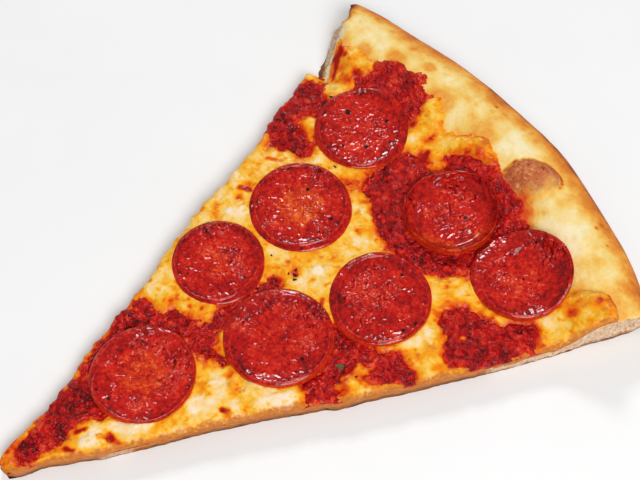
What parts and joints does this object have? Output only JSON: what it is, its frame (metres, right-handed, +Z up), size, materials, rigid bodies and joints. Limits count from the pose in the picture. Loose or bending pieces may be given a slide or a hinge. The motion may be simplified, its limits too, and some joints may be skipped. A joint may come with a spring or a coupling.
{
  "type": "pepperoni pizza slice",
  "caption": "Wedge of thin-crust pizza with a raised browned rim, tomato sauce, melted cheese and round slices of pepperoni, lying flat.",
  "frame": {"origin": "middle of the base, on the surface that the slice lies on", "axes": "+Z up, +Y from the tip of the slice to the rim, +X to the right seen from the tip"},
  "size_m": [0.1534, 0.2038, 0.0172],
  "materials": {
    "dough": "baked bread crust, matt, browned at the edge",
    "tomato_sauce": "cooked tomato sauce, wet and grainy",
    "melted_cheese": "melted cheese, oily, browned in spots",
    "pepperoni": "cured sausage, oily"
  },
  "bodies": {
    "root": {"crust": "dough", "sauce": "tomato_sauce", "cheese": "melted_cheese", "pepperoni_1": "pepperoni", "pepperoni_2": "pepperoni", "pepperoni_3": "pepperoni", "pepperoni_4": "pepperoni", "pepperoni_5": "pepperoni", "pepperoni_6": "pepperoni", "pepperoni_7": "pepperoni", "pepperoni_8": "pepperoni"}
  },
  "joints": []
}
